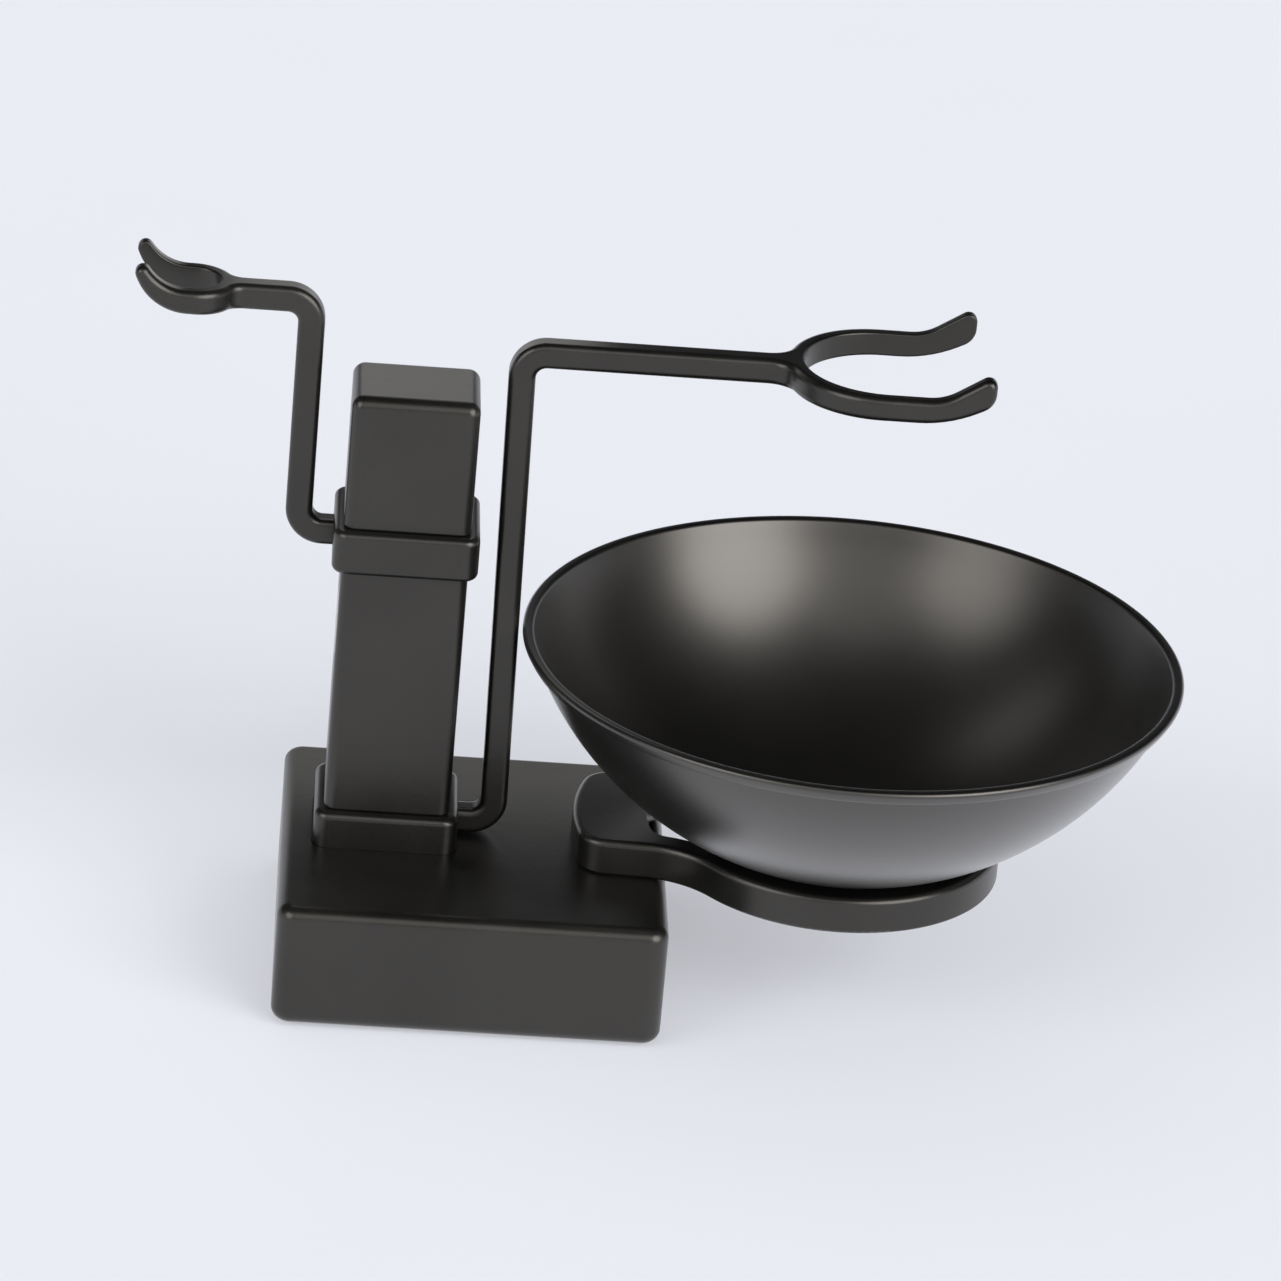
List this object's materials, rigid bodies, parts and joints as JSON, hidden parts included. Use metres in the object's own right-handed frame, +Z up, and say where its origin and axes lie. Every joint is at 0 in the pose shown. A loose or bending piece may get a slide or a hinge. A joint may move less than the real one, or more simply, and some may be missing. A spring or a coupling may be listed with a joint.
{
  "type": "shaving stand",
  "caption": "Free-standing shaving stand: a weighted block and square post carry a high fork for a razor, a longer fork for a brush, and a ring tray with a lift-off shaving bowl.",
  "frame": {"origin": "centre of the base block in plan, on the surface that the stand rests on", "axes": "+X from the post toward the bowl, +Y from the front of the stand to its back, +Z up"},
  "size_m": [0.1651, 0.1026, 0.1134],
  "materials": {
    "satin_black": "satin black coating on cast zinc and steel",
    "bowl_black": "satin black coating on a spun steel bowl",
    "iron": "rough cast",
    "zinc_plated_steel": "bright zinc plating",
    "pad_rubber": "matt non-slip rubber"
  },
  "bodies": {
    "stand": {"base_shell": "satin_black", "base_weight": "iron", "bottom_plate": "zinc_plated_steel", "bottom_plate_screws": "zinc_plated_steel", "non_slip_pad": "pad_rubber", "tie_rod": "zinc_plated_steel", "rod_nut": "zinc_plated_steel", "spring_washer": "zinc_plated_steel", "rod_washer": "zinc_plated_steel", "brush_collar": "satin_black", "brush_arm": "satin_black", "post_tube": "satin_black", "razor_collar": "satin_black", "razor_arm": "satin_black", "post_cap": "satin_black", "cap_insert": "zinc_plated_steel", "bowl_tray": "satin_black", "tray_screws": "zinc_plated_steel", "tray_screw_washers": "zinc_plated_steel"},
    "bowl": {"bowl": "bowl_black"}
  },
  "joints": [
    {"name": "bowl_lift", "type": "slide", "parent": "stand", "child": "bowl", "axis": [0, 0, 1], "range_m": [0, 0.04]}
  ]
}
